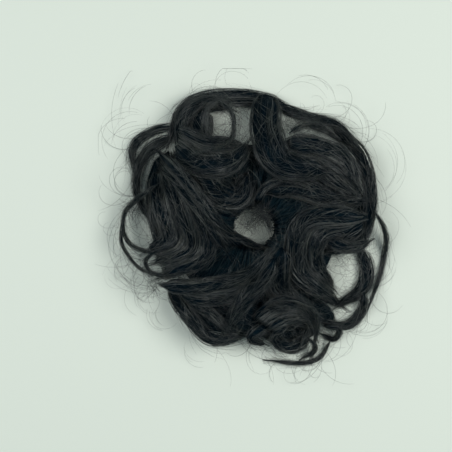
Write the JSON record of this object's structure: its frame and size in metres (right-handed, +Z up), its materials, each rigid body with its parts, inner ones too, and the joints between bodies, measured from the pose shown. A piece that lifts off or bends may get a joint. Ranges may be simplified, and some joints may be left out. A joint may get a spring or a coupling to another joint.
{
  "type": "curly synthetic hair scrunchie, messy bun",
  "caption": "Messy-bun hair scrunchie: curled black locks sewn in gathered wefts round an elastic band, lying flat with an open centre for a ponytail.",
  "frame": {"origin": "on the table, under the middle of the box that holds the whole pile", "axes": "+Z up, out of the pile, along the way that a ponytail goes through; +X to the right and +Y away, as the pile is looked at from above"},
  "size_m": [0.1608, 0.166, 0.0444],
  "materials": {
    "hair": "silky synthetic hair, dark grey highlights along the curls",
    "under_hair": "the same hair in shade, dull",
    "band_cover": "matt knitted elastic cover"
  },
  "bodies": {
    "root": {"elastic_band": "band_cover", "gathered_wefts": "under_hair", "left_under_lock": "under_hair", "lower_left_under_lock": "under_hair", "bottom_under_lock": "under_hair", "lower_right_under_lock": "under_hair", "right_under_lock": "under_hair", "upper_right_under_lock": "under_hair", "top_under_lock": "under_hair", "top_left_under_lock": "under_hair", "upper_left_outer_lock": "hair", "upper_left_inner_lock": "hair", "left_side_lock": "hair", "bottom_left_outer_lock": "hair", "bottom_left_inner_lock": "hair", "right_rim_lock": "hair", "top_right_rim_lock": "hair", "right_loop_lock": "hair", "lower_right_lock": "hair", "crest_lock": "hair", "left_curl_inner_lock": "hair", "left_curl_middle_lock": "hair", "left_curl_outer_lock": "hair", "top_left_mass_lock": "hair", "top_left_curl_lock": "hair", "shell_top_lock": "hair", "shell_lower_lock": "hair", "shell_upper_lock": "hair", "mid_right_wavy_lock": "hair", "fan_lower_lock": "hair", "fan_upper_lock": "hair", "right_curl_core_lock": "hair", "right_curl_bridge_lock": "hair", "right_curl_inner_lock": "hair", "right_curl_outer_lock": "hair", "small_dark_lock": "hair", "s_lock": "hair", "lower_strand_lock": "hair", "middle_drop_lock": "hair", "fan_right_lock": "hair", "fan_left_lock": "hair", "bottom_lump_lock": "hair", "rosette_lower_lock": "hair", "rosette_upper_lock": "hair", "rosette_second_lock": "hair", "rosette_lit_lock": "hair", "little_curl_lock": "hair", "diagonal_lower_lock": "hair", "diagonal_upper_lock": "hair", "left_loop_strand": "hair", "left_thread_strand": "hair", "left_ring_strand": "hair", "ring_strand": "hair", "upper_right_strand": "hair", "right_outer_strand": "hair", "rosette_outer_strand": "hair", "bottom_loop_strand": "hair", "rosette_tuft_strand": "hair"}
  },
  "joints": []
}
